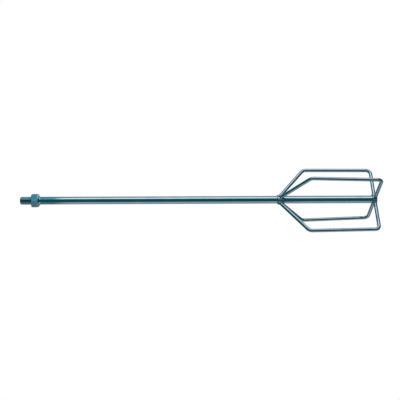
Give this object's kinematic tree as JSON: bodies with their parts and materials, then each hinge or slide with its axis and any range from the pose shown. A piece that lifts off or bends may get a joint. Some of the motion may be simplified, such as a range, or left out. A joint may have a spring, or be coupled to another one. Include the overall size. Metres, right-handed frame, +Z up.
{
  "type": "mortar mixing paddle",
  "caption": "Straight shaft with a threaded drive stud and a hexagon nut, carrying an open cage of bent round rods that stirs mortar, plaster or adhesive in a bucket.",
  "frame": {"origin": "centre of the cage end, where the shaft's end face and the undersides of the end bars are flush", "axes": "+Z runs up the shaft from the cage to the threaded drive end; +X and +Y run along two neighbouring end bars of the cage"},
  "size_m": [0.129, 0.129, 0.6],
  "materials": {
    "shaft_zinc": "bright drawn steel bar, zinc plated with a clear blue passivation, glossy with fine lengthwise drawing lines",
    "nut_zinc": "machined steel nut, zinc plated with a clear blue passivation, satin gloss",
    "rod_zinc": "bent round steel rod, zinc plated with a clear blue passivation, glossy",
    "weld_zinc": "rippled weld metal under the same zinc plating, duller and slightly rough"
  },
  "bodies": {
    "root": {"shaft": "shaft_zinc", "hex_nut": "nut_zinc", "nut_weld": "weld_zinc", "cage_rod_east": "rod_zinc", "cage_rod_north": "rod_zinc", "cage_rod_west": "rod_zinc", "cage_rod_south": "rod_zinc", "upper_weld_east": "weld_zinc", "upper_weld_north": "weld_zinc", "upper_weld_west": "weld_zinc", "upper_weld_south": "weld_zinc", "lower_weld_east": "weld_zinc", "lower_weld_north": "weld_zinc", "lower_weld_west": "weld_zinc", "lower_weld_south": "weld_zinc"}
  },
  "joints": []
}
